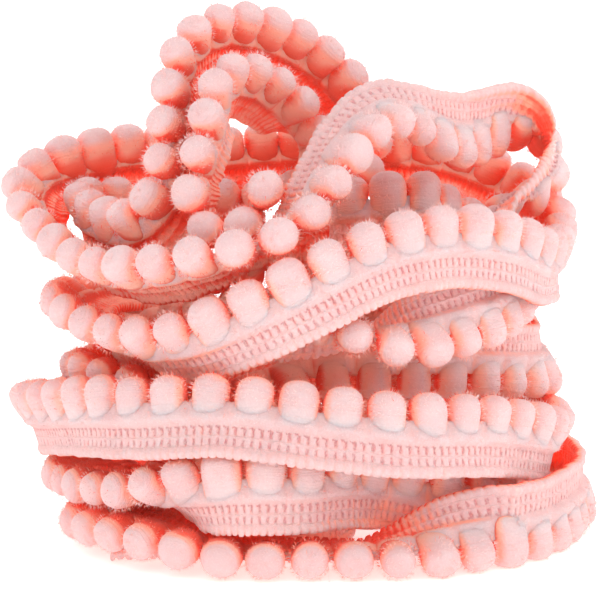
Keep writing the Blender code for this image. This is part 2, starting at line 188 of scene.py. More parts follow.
def curveThrough(stations, steps=24):
    # centripetal Catmull-Rom: each span blends its four stations three times over, with knots a
    # root of the gap apart
    rows = np.vstack([2 * stations[0] - stations[1], stations, 2 * stations[-1] - stations[-2]])
    knots = np.concatenate([[0.0], np.cumsum(np.sqrt(stepLengths(rows)))])
    spans = []
    for first in range(len(rows) - 3):
        t0, t1, t2, t3 = knots[first:first + 4]
        p0, p1, p2, p3 = rows[first:first + 4]
        t = np.linspace(t1, t2, steps, endpoint=False)[:, None]
        a1 = ((t1 - t) * p0 + (t - t0) * p1) / (t1 - t0)
        a2 = ((t2 - t) * p1 + (t - t1) * p2) / (t2 - t1)
        a3 = ((t3 - t) * p2 + (t - t2) * p3) / (t3 - t2)
        b1 = ((t2 - t) * a1 + (t - t0) * a2) / (t2 - t0)
        b2 = ((t3 - t) * a2 + (t - t1) * a3) / (t3 - t1)
        spans.append(((t2 - t) * b1 + (t - t1) * b2) / (t2 - t1))
    return np.vstack(spans + [stations[-1:]])


def evenSteps(curve, count):
    # the length so far at each point, then the point at each even share of the whole length
    along = np.concatenate([[0.0], np.cumsum(stepLengths(curve))])
    at = np.linspace(0.0, along[-1], count + 1)
    return np.stack([np.interp(at, along, column) for column in curve.T], axis=1)


def squareTo(axes, vectors):
    # each vector less its part along its own unit axis, made one long
    return unit(vectors - (vectors * axes).sum(axis=1)[:, None] * axes)


def leanAcross(line, lean):
    # the lean made square to the line's own direction
    return squareTo(unit(np.gradient(line, axis=0)), lean)


def smoothed(values, passes):
    # each row becomes a quarter of each neighbour and half of itself, passes times over
    values = values.copy()
    for _ in range(passes):
        values[1:-1] = (values[:-2] + 2 * values[1:-1] + values[2:]) / 4
    return values


def nearPairs(probes, section, step):
    # the pairs of probes within reach of each other that lie on different stretches
    square = (probes ** 2).sum(axis=1)
    distance = square[:, None] + square[None] - 2 * probes @ probes.T
    first, second = np.nonzero(np.triu(distance < trim["probeReach"] ** 2))
    apart = np.abs(section[first] - section[second]) * step > trim["nearLength"]
    return first[apart], second[apart]


def easedApart(line, lean, step):
    # round by round, probes that overlap push their stretches apart by half the overlap each and
    # tip them, and a stretch under the floor rises, while every stretch keeps most of its shift
    count = len(line)
    depths = trim["probeDepth"]
    depth = np.tile(depths, count)
    section = np.repeat(np.arange(count), len(depths))
    radius = np.tile(trim["probeRadius"], count)
    radius[(depth == 0) & (section % 2 == 0)] = trim["bareProbeRadius"]
    lever = (trim["tapeWidth"] + trim["pompomRise"]) / 2 - depth
    keep = trim["easeKeep"]
    lineStart = line
    leanStart = lean
    for turn in range(trim["easeRounds"]):
        probes = line[section] - lean[section] * depth[:, None]
        if turn % trim["nearRounds"] == 0:
            first, second = nearPairs(probes, section, step)
        between = probes[first] - probes[second]
        distance = np.linalg.norm(between, axis=1)
        overlap = radius[first] + radius[second] + trim["easeClearance"] - distance
        hit = overlap > 0
        push = between[hit] * (overlap[hit] / distance[hit] / 2)[:, None]
        move = np.zeros((count, 3))
        tilt = np.zeros((count, 3))
        hits = np.zeros(count)
        for probe, way in ((first[hit], 1), (second[hit], -1)):
            at = section[probe]
            hits += np.bincount(at, minlength=count)
            for axis in range(3):
                move[:, axis] += np.bincount(at, way * push[:, axis], count)
                tilt[:, axis] += np.bincount(at, way * push[:, axis] * lever[probe], count)
        share = 1 / np.maximum(hits, 1)[:, None]
        sunk = (radius - probes[:, 2]).reshape(count, -1).max(axis=1)
        move = move * share
        move[:, 2] += trim["easeLift"] * np.maximum(sunk, 0)
        move = trim["easeMove"] * smoothed(move, trim["pushSmoothing"])
        tilt = trim["easeTilt"] * smoothed(tilt * share, trim["pushSmoothing"])
        line = lineStart + keep * smoothed(line + move - lineStart, trim["lineSmoothing"])
        lean = leanStart + keep * smoothed(lean + tilt - leanStart, trim["leanSmoothing"])
        lean = leanAcross(line, lean)
    return line, lean


def stoodOnFloor(line, lean):
    # low pompoms that point down stand upright, then each step is as high as its lowest reach needs
    upright = (lean[:, 2] < trim["upright"]) & (line[:, 2] < trim["floorReach"])
    line = line.copy()
    lean = lean.copy()
    line[upright, 2] = trim["solidRise"][-1]
    lean[upright] = (0.0, 0.0, -1.0)
    steepness = lean[:, 2]
    levelness = np.sqrt(1 - steepness ** 2)
    reach = [radius * levelness - rise * steepness
             for rise, radius in zip(trim["solidRise"], trim["solidRadius"])]
    reach += [thickness / 2 * levelness + drop * steepness
              for drop, thickness in zip(trim["tapeDrop"], trim["tapeThickness"])]
    line[:, 2] = np.maximum(line[:, 2], np.max(reach, axis=0))
    return line, lean


def trimRoute():
    # stations to an even smooth line, eased apart, stood on z = 0 and centred on x and y
    stations = np.array([station for turn in route.values() for station in turn], dtype=float)
    halfSteps = 2 * trim["pompoms"]
    steps = evenSteps(curveThrough(stations), halfSteps)
    steps = evenSteps(smoothed(steps, trim["routeSmoothing"]), halfSteps)
    line = steps[:, :3]
    lean = leanAcross(line, steps[:, 3:])
    line, lean = easedApart(line, lean, stepLengths(line).mean())
    line, lean = stoodOnFloor(line, lean)
    middle = (line.min(axis=0) + line.max(axis=0)) / 2
    return line - (middle[0], middle[1], 0.0), lean


def betweenSteps(rows, at):
    # cubic Catmull-Rom between the four rows round each place, counted in half steps
    first = np.clip(np.floor(at).astype(int), 0, len(rows) - 2)
    f = (at - first)[:, None]
    p0 = rows[np.maximum(first - 1, 0)]
    p1 = rows[first]
    p2 = rows[first + 1]
    p3 = rows[np.minimum(first + 2, len(rows) - 1)]
    return (2 * p1 + (p2 - p0) * f + (2 * p0 - 5 * p1 + 4 * p2 - p3) * f ** 2
            + (3 * p1 - p0 - 3 * p2 + p3) * f ** 3) / 2


def trimFrame(pitches):
    # centre, along, lean and across at each place, counted in pompoms: along and lean are square
    # to each other, and across is their product
    at = 2 * pitches
    centre = betweenSteps(trimLine, at)
    ahead = betweenSteps(trimLine, np.minimum(at + trim["frameReach"], len(trimLine) - 1.0))
    behind = betweenSteps(trimLine, np.maximum(at - trim["frameReach"], 0.0))
    along = unit(ahead - behind)
    lean = squareTo(along, unit(betweenSteps(trimLean, at)))
    return centre, along, lean, np.cross(along, lean)


def meshFrom(name, points, faces, uv, smooth, material):
    # points in millimetres, faces as a list of index arrays, uv for each point or None
    mesh = bpy.data.meshes.new(name)
    sizes = np.concatenate([np.full(len(group), group.shape[1]) for group in faces])
    corners = np.concatenate([group.ravel() for group in faces])
    mesh.vertices.add(len(points))
    mesh.vertices.foreach_set("co", (points * mm).astype(np.float32).ravel())
    mesh.loops.add(len(corners))
    mesh.loops.foreach_set("vertex_index", corners.astype(np.int32))
    mesh.polygons.add(len(sizes))
    mesh.polygons.foreach_set("loop_start", (np.cumsum(sizes) - sizes).astype(np.int32))
    mesh.update(calc_edges=True)
    mesh.polygons.foreach_set("use_smooth", np.full(len(sizes), smooth))
    if uv is not None:
        layer = mesh.uv_layers.new(name="trimMap")
        layer.data.foreach_set("uv", uv[corners].astype(np.float32).ravel())
    mesh.validate()
    mesh.materials.append(material)
    piece = bpy.data.objects.new(name, mesh)
    bpy.context.scene.collection.objects.link(piece)
    return piece


def softStep(value, low, high):
    # share squared x (3 - 2 share), where share is how far value is from low to high
    share = np.clip((value - low) / (high - low), 0, 1)
    return share * share * (3 - 2 * share)


def fullness(centre):
    # 1 in front, growing softly to 1 + fuller at the back
    return 1 + trim["fuller"] * softStep(centre[:, 1], *trim["fullerFrom"])


def shelter(points, outward):
    # how much trim stands over each point, used to paint shade into the yarn's colour: sum over the
    # balls of (radius / distance) squared x the cosine between outward and the way to the ball,
    # brought softly from its range to 0 ... 1
    ball = trim["ballRadius"]
    centre, _, lean, _ = trimFrame(np.arange(trim["pompoms"]) + 0.5)
    balls = np.concatenate([centre, centre - lean * trim["tapeMiddle"]]).astype(np.float32)
    ballSquares = (balls ** 2).sum(axis=1)[None]
    total = np.empty(len(points), np.float32)
    chunks = 1 + len(points) // trim["shelterChunk"]
    for chunk in np.array_split(np.arange(len(points)), chunks):
        place, way = points[chunk].astype(np.float32), outward[chunk].astype(np.float32)
        squared = (place ** 2).sum(axis=1)[:, None] + ballSquares - 2 * place @ balls.T
        squared = np.maximum(squared, ball ** 2)
        facing = way @ balls.T - (way * place).sum(axis=1)[:, None]
        share = np.maximum(facing, 0) / np.sqrt(squared) * ball ** 2 / squared
        total[chunk] = share.sum(axis=1)
    return softStep(total, *trim["shelterRange"])


def addShelter(piece, values=None):
    # keeps the shelter of each vertex, worked out from its normal where no values are given
    mesh = piece.data
    if values is None:
        points, normals = np.empty(3 * len(mesh.vertices)), np.empty(3 * len(mesh.vertices))
        mesh.vertices.foreach_get("co", points)
        mesh.vertex_normals.foreach_get("vector", normals)
        values = shelter(points.reshape(-1, 3) / mm, normals.reshape(-1, 3))
    layer = mesh.attributes.new("shelter", "FLOAT", "POINT")
    layer.data.foreach_set("value", values.astype(np.float32))


def ringGrid(count, sides):
    # the quads between each section of sides points and the next
    at = np.arange(count - 1)[:, None] * sides
    side = np.arange(sides)[None]
    after = (side + 1) % sides
    quads = np.stack([at + side, at + after, at + sides + after, at + sides + side], axis=-1)
    return quads.reshape(-1, 4)


def onTable(points):
    # points below the least height come up to it
    points[..., 2] = np.maximum(points[..., 2], trim["lowest"])
    return points


def repeated(faces, number, points):
    # the same faces for each of number shapes, the next one's points further on
    first = np.arange(number)[:, None, None] * points
    return (first + faces[None]).reshape(-1, faces.shape[1])


trimLine, trimLean = trimRoute()

yarn = {
    "pompomColour": (0.77, 0.57, 0.57),
    "knitColour": (0.74, 0.555, 0.555),
    # painted shade down in the slits; the slow dye clouds use the same colour
    "slitShadeAndDyeColour": (0.56, 0.24, 0.26),    # down in the slits
    "paleColour": (0.91, 0.75, 0.74),    # loose fibre ends
    "innerColour": (1.0, 0.24, 0.13),    # light that has been through the yarn once already
    # painted shade: coral where other yarn stands before a point, deep red where it stands all round,
    # both from the shelter of each point
    "shelterShadeColour": (1.0, 0.52, 0.38),     # where other yarn stands before it
    "shelterShadeFrom": (0.0, 0.6),              # shelter at which it starts and is full
    "shelterShadeShare": 0.9,
    "deepShadeColour": (0.95, 0.15, 0.09),  # where other yarn stands all round it
    "deepShadeFrom": (0.65, 1.0),
    "roughness": 0.95,
    "specular": 0.1,
    "sheen": 0.25,
    "sheenRoughness": 0.5,
    "sheenTint": (1.0, 0.88, 0.90, 1.0),
    "scatter": 0.8,
    "knitScatter": 0.5,
    "scatterReach": (1.0, 0.26, 0.18),
    "scatterScale": 0.005,
    "paleness": 0.30,                    # share of pale nap: on the pompoms, the knit and the hairs
    "knitPaleness": 0.35,
    "fibrePaleness": 0.2,
    # painted shade in the slits, as a share of the way to that colour
    "slitShadeShare": 0.65,                   # how far the slits go to the deep colour
    "reliefDepth": 0.0004,
    "relief": 0.6,
    "knitRelief": 0.8,
    "grooveLift": -1.0,                  # height of the slits and of the rungs, against the nap
    "rungLift": 0.8,
}

# the higher a scale, the finer its noise. A range is the noise that becomes 0 and that becomes 1
velvet = {
    "nap": {"Detail": 4.0, "Roughness": 0.65, "Distortion": 0.6},
    "napScale": 2600.0,
    "napRange": (0.42, 0.68),
    "tuft": {"Scale": 700.0, "Detail": 2.0},
    "tuftLift": 1.2,
    "dye": {"Scale": 120.0, "Detail": 3.0},
    "dyeRange": (0.40, 0.68),
    "dyeMost": 0.12,
}

# uneven rings wound round a pompom
windings = {
    "turns": 42.0,               # rings over the map's length
    "swayScale": 260.0,
    "sway": 2.5,
    "apart": 7.3,                # noise from one pompom to the next
    "noise": {"Scale": 1.0, "Detail": 1.0},
    "lift": 1.6,
}

# the open stitch, its drops in millimetres. A band is where it starts and ends, and how softly
ladder = {
    "ribs": 5.0,
    "wobble": {"Scale": 14.0, "Detail": 2.0},
    "wobbleRange": (0.3, 0.7),
    "ribWobble": 0.08,
    "dropWobble": 0.15,
    "lineWidth": (0.06, 0.24),
    "rows": ((7.0, 8.6, 0.2), (9.5, 10.8, 0.2)),
    "hookAcross": (0.52, 0.98, 0.06),
    "hookDown": (6.95, 7.35, 0.12),
    "patch": {"Scale": 31.0, "Detail": 1.0},
    "patchRange": (0.3, 0.6),
    "patchLeast": 0.35,
    "rungs": ((8.95, 9.15, 0.15), (11.0, 11.25, 0.15)),
    "knitFrom": (6.2, 6.9),
}


def newGroup(name, inputs, outputs):
    # a node group with named number, colour and vector sockets
    group = bpy.data.node_groups.new(name, "ShaderNodeTree")
    for socket, kind, value in inputs:
        made = group.interface.new_socket(name=socket, in_out="INPUT", socket_type="NodeSocket" + kind)
        if value is not None:
            made.default_value = value
    for socket, kind in outputs:
        group.interface.new_socket(name=socket, in_out="OUTPUT", socket_type="NodeSocket" + kind)
    return group


def addNode(tree, kind, links=(), **settings):
    # a node with its settings, its inputs each linked to a socket or set to a value
    node = tree.nodes.new("ShaderNode" + kind)
    for setting, value in settings.items():
        setattr(node, setting, value)
    for socket, source in dict(links).items():
        if isinstance(source, bpy.types.NodeSocket):
            tree.links.new(source, node.inputs[socket])
        else:
            node.inputs[socket].default_value = source
    return node


def sums(tree, operation, first, second, clamp=False):
    # one sum of two sockets or numbers
    node = addNode(tree, "Math", {0: first, 1: second}, operation=operation, use_clamp=clamp)
    return node.outputs[0]


def product(tree, first, second):
    # first x second
    return sums(tree, "MULTIPLY", first, second)


def plus(tree, first, second, times):
    # first + second x times
    return sums(tree, "ADD", first, product(tree, second, times))


def spread(tree, value, low, high, start=0.0, end=1.0):
    # value from low to high becomes start to end, with soft ends
    return addNode(tree, "MapRange", {0: value, 1: low, 2: high, 3: start, 4: end},
                   interpolation_type="SMOOTHSTEP").outputs[0]


def blended(tree, share, first, second):
    # colour = first x (1 - share) + second x share
    return addNode(tree, "Mix", {0: share, 6: first, 7: second}, data_type="RGBA").outputs[2]


def band(tree, value, start, end, soft):
    # 1 from start to end and 0 outside, over twice soft at each side
    rise = spread(tree, value, start - soft, start + soft)
    return product(tree, rise, spread(tree, value, end - soft, end + soft, 1.0, 0.0))


def noise(tree, vector, settings):
    # a noise value at vector
    return addNode(tree, "TexNoise", {"Vector": vector, **settings}).outputs[0]


def mapPlace(tree):
    # the piece's own map: u counts pompoms, and v is the drop or the rise over the map's length
    return addNode(tree, "UVMap", uv_map="trimMap").outputs[0]


def objectPlace(tree):
    # the place in metres
    return addNode(tree, "TexCoord").outputs["Object"]


def makeVelvetGroup():
    # colour = base, pulled to pale by a fine nap, and to the shade-and-dye colour by the painted slit
    # shade and by slow clouds of dye; height = the fine nap + soft tufts
    group = newGroup("velvetNap", [
        ("Base", "Color", None), ("Pale", "Color", None), ("ShadeDyeColour", "Color", None),
        ("PaintedSlitShade", "Float", 0.0), ("Nap", "Float", velvet["napScale"]),
        ("Paleness", "Float", yarn["paleness"]),
    ], [("Color", "Color"), ("Height", "Float")])
    entry = group.nodes.new("NodeGroupInput").outputs
    place = objectPlace(group)
    nap = noise(group, place, {"Scale": entry["Nap"], **velvet["nap"]})
    tuft = noise(group, place, velvet["tuft"])
    dye = noise(group, place, velvet["dye"])
    paleShare = product(group, spread(group, nap, *velvet["napRange"]), entry["Paleness"])
    paler = blended(group, paleShare, entry["Base"], entry["Pale"])
    cloud = spread(group, dye, *velvet["dyeRange"], 0.0, velvet["dyeMost"])
    # painted shade in the slits, plus the random dye clouds
    slitShadeWithDye = sums(group, "ADD", entry["PaintedSlitShade"], cloud, clamp=True)
    leave = group.nodes.new("NodeGroupOutput").inputs
    group.links.new(blended(group, slitShadeWithDye, paler, entry["ShadeDyeColour"]), leave["Color"])
    group.links.new(plus(group, nap, tuft, velvet["tuftLift"]), leave["Height"])
    return group


def makeLadderGroup():
    # Slit is 1 in the narrow lines between the ribs, in two rows, with a short hook at the head of
    # each upper line; Knit is 1 below the lobes; Rung is 1 in the level grooves
    group = newGroup("knitLadder", [("Vector", "Vector", None), ("Ribs", "Float", ladder["ribs"])],
                     [("Slit", "Float"), ("Knit", "Float"), ("Rung", "Float")])
    entry = group.nodes.new("NodeGroupInput").outputs
    split = addNode(group, "SeparateXYZ", {0: entry["Vector"]}).outputs
    wobble = noise(group, entry["Vector"], ladder["wobble"])
    patchy = noise(group, entry["Vector"], ladder["patch"])

    def wobbled(value, times, most):
        # value x times, shifted by the wobble, up to most either way
        sway = spread(group, wobble, *ladder["wobbleRange"], -most, most)
        return sums(group, "ADD", product(group, value, times), sway)

    ribs = wobbled(split[0], entry["Ribs"], ladder["ribWobble"])
    drop = wobbled(split[1], trim["mapLength"], ladder["dropWobble"])
    fromSlit = sums(group, "PINGPONG", ribs, 0.5)
    line = spread(group, fromSlit, *ladder["lineWidth"], 1.0, 0.0)
    rows = sums(group, "MAXIMUM", *[band(group, drop, *row) for row in ladder["rows"]])
    hook = product(group, band(group, sums(group, "FRACT", ribs, 0.0), *ladder["hookAcross"]),
                   band(group, drop, *ladder["hookDown"]))
    slit = sums(group, "MAXIMUM", product(group, line, rows), hook)
    patches = spread(group, patchy, *ladder["patchRange"], ladder["patchLeast"], 1.0)
    rung = sums(group, "MAXIMUM", *[band(group, drop, *rung) for rung in ladder["rungs"]])
    leave = group.nodes.new("NodeGroupOutput").inputs
    group.links.new(product(group, slit, patches), leave["Slit"])
    group.links.new(spread(group, drop, *ladder["knitFrom"]), leave["Knit"])
    group.links.new(rung, leave["Rung"])
    return group


def yarnMaterial(name, base, paleness, scatter):
    # a rough, softly scattering yarn, whose colour and height come from the shared nap. Shade is
    # painted into its colour: coral where it is sheltered, deep red where yarn stands all round it.
    # Light that has been through yarn before meets the inner colour
    material = bpy.data.materials.new(name)
    material.use_nodes = True
    tree = material.node_tree
    shader = tree.nodes["Principled BSDF"]
    nap = addNode(tree, "Group", {"Paleness": paleness}, node_tree=velvetGroup)
    for socket, colour in (("Base", base), ("Pale", yarn["paleColour"]), ("ShadeDyeColour", yarn["slitShadeAndDyeColour"])):
        nap.inputs[socket].default_value = (*colour, 1.0)
    sheltered = addNode(tree, "Attribute", attribute_name="shelter").outputs["Fac"]
    # painted shade: coral where other yarn stands before it
    coralShade = spread(tree, sheltered, *yarn["shelterShadeFrom"], 0.0, yarn["shelterShadeShare"])
    colour = blended(tree, coralShade, nap.outputs["Color"], (*yarn["shelterShadeColour"], 1.0))
    # painted shade: deep red where other yarn stands all round it
    enclosedShade = spread(tree, sheltered, *yarn["deepShadeFrom"])
    colour = blended(tree, enclosedShade, colour, (*yarn["deepShadeColour"], 1.0))
    bounced = addNode(tree, "LightPath").outputs["Is Diffuse Ray"]
    colour = blended(tree, bounced, colour, (*yarn["innerColour"], 1.0))
    tree.links.new(colour, shader.inputs["Base Color"])
    shader.subsurface_method = "BURLEY"
    for socket, value in (
            ("Roughness", yarn["roughness"]), ("Specular IOR Level", yarn["specular"]),
            ("Sheen Weight", yarn["sheen"]), ("Sheen Roughness", yarn["sheenRoughness"]),
            ("Sheen Tint", yarn["sheenTint"]), ("Subsurface Weight", scatter),
            ("Subsurface Radius", yarn["scatterReach"]),
            ("Subsurface Scale", yarn["scatterScale"])):
        shader.inputs[socket].default_value = value
    return material, tree, shader, nap


def addRelief(tree, shader, height, strength):
    # a bump node between a height and the shader's normal
    relief = addNode(tree, "Bump", {"Height": height, "Strength": strength,
                                    "Distance": yarn["reliefDepth"]})
    tree.links.new(relief.outputs[0], shader.inputs["Normal"])


def makePompomYarn():
    # relief = the nap + windings, a noise drawn out round the pompom, different on each
    material, tree, shader, nap = yarnMaterial("pompomYarn", yarn["pompomColour"],
                                               yarn["paleness"], yarn["scatter"])
    split = addNode(tree, "SeparateXYZ", {0: mapPlace(tree)}).outputs
    sway = noise(tree, objectPlace(tree), {"Scale": windings["swayScale"]})
    up = plus(tree, product(tree, split[1], windings["turns"]), sway, windings["sway"])
    across = product(tree, split[0], windings["apart"])
    rings = noise(tree, addNode(tree, "CombineXYZ", {0: across, 1: up}).outputs[0],
                  windings["noise"])
    height = plus(tree, nap.outputs["Height"], rings, windings["lift"])
    addRelief(tree, shader, height, yarn["relief"])
    return material


def makeKnittedYarn():
    # colour = the nap + painted shade in the ladder's slits; relief = the nap + the slits and rungs
    material, tree, shader, nap = yarnMaterial("knittedYarn", yarn["pompomColour"],
                                               yarn["knitPaleness"], yarn["knitScatter"])
    stitch = addNode(tree, "Group", {0: mapPlace(tree)}, node_tree=ladderGroup).outputs
    base = blended(tree, stitch["Knit"], (*yarn["pompomColour"], 1.0), (*yarn["knitColour"], 1.0))
    tree.links.new(base, nap.inputs["Base"])
    # painted shade: the slits are darkened as shade down in them
    tree.links.new(product(tree, stitch["Slit"], yarn["slitShadeShare"]), nap.inputs["PaintedSlitShade"])
    grooves = plus(tree, product(tree, stitch["Slit"], yarn["grooveLift"]),
                   stitch["Rung"], yarn["rungLift"])
    addRelief(tree, shader, sums(tree, "ADD", nap.outputs["Height"], grooves), yarn["knitRelief"])
    return material


velvetGroup = makeVelvetGroup()
ladderGroup = makeLadderGroup()
pompomYarn = makePompomYarn()
knittedYarn = makeKnittedYarn()
looseFibre = yarnMaterial("looseFibre", yarn["paleColour"], yarn["fibrePaleness"], 0.0)[0]
print("yarn materials made")

tape = {
    "ribs": 5,                   # knitted ribs down the tape, for each pompom
    "ribPlaces": (0.0, 0.24, 0.76),      # where one rib's surface is worked out, from slit to slit
    # rows down the tape: drop from the pompom's centre, half thickness, lobe's height, rib's round,
    # slit's depth
    "rows": (
        (1.90, 0.75, 0.40, 0.00, 0.00),
        (2.80, 0.80, 0.80, 0.00, 0.00),
        (3.80, 1.00, 1.05, 0.00, 0.00),
        (4.80, 1.30, 1.05, 0.00, 0.00),
        (5.60, 1.45, 0.80, 0.02, 0.00),
        (6.20, 1.20, 0.50, 0.06, 0.02),
        (6.60, 0.92, 0.12, 0.12, 0.06),
        (7.00, 0.62, 0.04, 0.24, 0.26),
        (7.90, 0.56, 0.00, 0.28, 0.30),
        (8.75, 0.57, 0.00, 0.28, 0.22),
        (9.05, 0.68, 0.00, 0.20, 0.02),
        (9.45, 0.58, 0.00, 0.24, 0.16),
        (10.20, 0.56, 0.00, 0.26, 0.20),
        (10.90, 0.60, 0.00, 0.24, 0.12),
        (11.20, 0.68, 0.00, 0.20, 0.06),
        (11.65, 0.96, 0.00, 0.34, 0.20),
        (12.20, 1.06, 0.00, 0.42, 0.28),
        (12.70, 0.90, 0.00, 0.36, 0.24),
        (12.98, 0.54, 0.00, 0.22, 0.12),
    ),
    "topEdge": (1.10, 1.75),     # where the two faces meet at the top: under a pompom, between two
    "topSpread": 0.3,            # least drop from there to each row
    "lobeWidth": 0.94,           # share of a pompom's length of tape that its lobe takes
    "lobeRound": (2.7, 0.55),    # powers that shape the lobe across its width
    "lobeSizes": (6, 0.07),      # seed and unevenness
    "slitWidth": 0.12,           # share of a rib, at each side
    "stitchSizes": (5, 0.2),
    "stitchDrops": (9.0, 11.1),  # a stitch keeps its size down to each, then the next one starts
    "selvedgeDrop": 13.1,
    "scallop": 0.40,             # how far the selvedge's stitches reach past the dips between them
    "scallopFrom": 11.0,
    "scallopOver": 2.0,
    "ripple": 0.30,
    "rippleWaves": ((1.0, 1.9, 1.0), (0.7, 4.3, 0.0), (0.5, 7.1, 0.0)),   # share, rate, start
    "swayFrom": 4.0,             # the tape sways more and more over so far below this drop
    "swayOver": 9.0,
    "swayBend": 1.5,
}


def tapePoints(pitches):
    # point = centre - lean x drop +- across x half thickness; half thickness = the row's own +
    # lobe x round of the pompom's share + rib x round of the rib - slit where two ribs meet
    centre, _, lean, across = trimFrame(pitches)
    full = fullness(centre)
    drop, half, lobe, rib, slit = np.array(tape["rows"]).T
    share = np.minimum(np.abs(2 * (pitches % 1.0) - 1) / tape["lobeWidth"], 1.0)
    sharp, blunt = tape["lobeRound"]
    lobeRound = (1 - share ** sharp) ** blunt
    ribCount = pitches * tape["ribs"]
    ribShare = ribCount % 1.0
    ribRound = np.sqrt(np.maximum(np.sin(np.pi * ribShare), 0.0))
    inSlit = np.maximum(0.0, 1 - np.minimum(ribShare, 1 - ribShare) / tape["slitWidth"])
    wave = tape["ripple"] * sum(size * np.sin(pitches * rate + start)
                                for size, rate, start in tape["rippleWaves"])
    seed, uneven = tape["stitchSizes"]
    stitchCount = trim["pompoms"] * tape["ribs"] + 1
    stitch = np.random.default_rng(seed).normal(1.0, uneven, (stitchCount, 3))[ribCount.astype(int)]
    seed, uneven = tape["lobeSizes"]
    lobeSizes = np.random.default_rng(seed).normal(1.0, uneven, trim["pompoms"] + 1)
    lobeSize = lobeSizes[pitches.astype(int)]
    rowStitch = stitch[:, np.searchsorted(tape["stitchDrops"], drop, side="right")]
    thick = (half[None] + (lobeRound * lobeSize)[:, None] * lobe[None]
             + ribRound[:, None] * rowStitch * rib[None] - inSlit[:, None] * slit[None])
    scallop = tape["scallop"] * ribRound * stitch[:, 2]
    underPompom, between = tape["topEdge"]
    topDrop = between + (underPompom - between) * lobeRound
    leastDrop = topDrop[:, None] + tape["topSpread"] * np.arange(1, len(drop) + 1)[None]
    scallopShare = np.clip((drop - tape["scallopFrom"]) / tape["scallopOver"], 0, 1)
    rowDrop = drop[None] + scallop[:, None] * scallopShare[None]
    rowDrop = np.maximum(rowDrop, leastDrop) * full[:, None]
    swayShare = np.clip((rowDrop - tape["swayFrom"]) / tape["swayOver"], 0, 1) ** tape["swayBend"]
    sway = wave[:, None] * swayShare
    bottomDrop = (tape["selvedgeDrop"] + scallop) * full

    def at(dropAt, side):
        # centre - lean x drop + across x side
        return (centre[:, None] - lean[:, None] * dropAt[..., None]
                + across[:, None] * side[..., None])

    top = at(topDrop[:, None], np.zeros((len(pitches), 1)))
    bottom = at(bottomDrop[:, None], wave[:, None])
    front = at(rowDrop, sway + thick)
    back = at(rowDrop, sway - thick)
    points = np.concatenate([top, front, bottom, back[:, ::-1]], axis=1)
    drops = [topDrop[:, None], rowDrop, bottomDrop[:, None], rowDrop[:, ::-1]]
    return onTable(points), np.concatenate(drops, axis=1)


def makeTape(name, start, end):
    # sections at each rib place from start to end, in pompoms, closed by a face at each end
    ribs = tape["ribs"]
    whole = np.arange(start * ribs, end * ribs)[:, None] + np.array(tape["ribPlaces"])[None]
    pitches = np.append(whole.ravel(), end * ribs) / ribs
    points, drops = tapePoints(pitches)
    count, sides = points.shape[:2]
    section = np.arange(sides)[None]
    faces = [ringGrid(count, sides), section[:, ::-1], (count - 1) * sides + section]
    uv = np.stack([np.repeat(pitches, sides), drops.ravel() / trim["mapLength"]], axis=1)
    piece = meshFrom(name, points.reshape(-1, 3), faces, uv, True, knittedYarn)
    smooth = np.ones(len(piece.data.polygons), bool)
    smooth[-2:] = False          # the two ends
    piece.data.polygons.foreach_set("use_smooth", smooth)
    addShelter(piece)
    return piece


tapeOuter = makeTape("tapeOuter", 0, trim["splitAt"])
tapeInner = makeTape("tapeInner", trim["splitAt"], trim["pompoms"])
print("knitted tape made")

pompom = {
    "sides": 8,
    # rings up one pompom from its foot on the tape: rise from its centre, radius along the tape,
    # radius across it
    "rings": (
        (-6.6, 3.0, 0.5), (-5.9, 4.1, 1.75), (-4.8, 4.4, 2.75), (-2.6, 4.3, 3.55),
        (-0.4, 4.5, 4.2), (1.4, 4.5, 4.3), (2.9, 3.8, 3.65), (3.85, 2.15, 2.1),
    ),
    "tip": 4.15,
    "waves": 0.018,              # share of the radius
    "lumps": 0.12,               # so much of them goes to the radius and to the height
    "radiusLumps": 0.25,
    "heightLumps": 0.6,
    "tipLumps": 0.1,             # this one in millimetres
    "sizes": 0.045,              # unevenness from one to the next, within these limits
    "sizeLimits": (0.9, 1.08),
    "mapMiddle": 0.5,            # v at the pompom's centre
    "levels": 1,
}


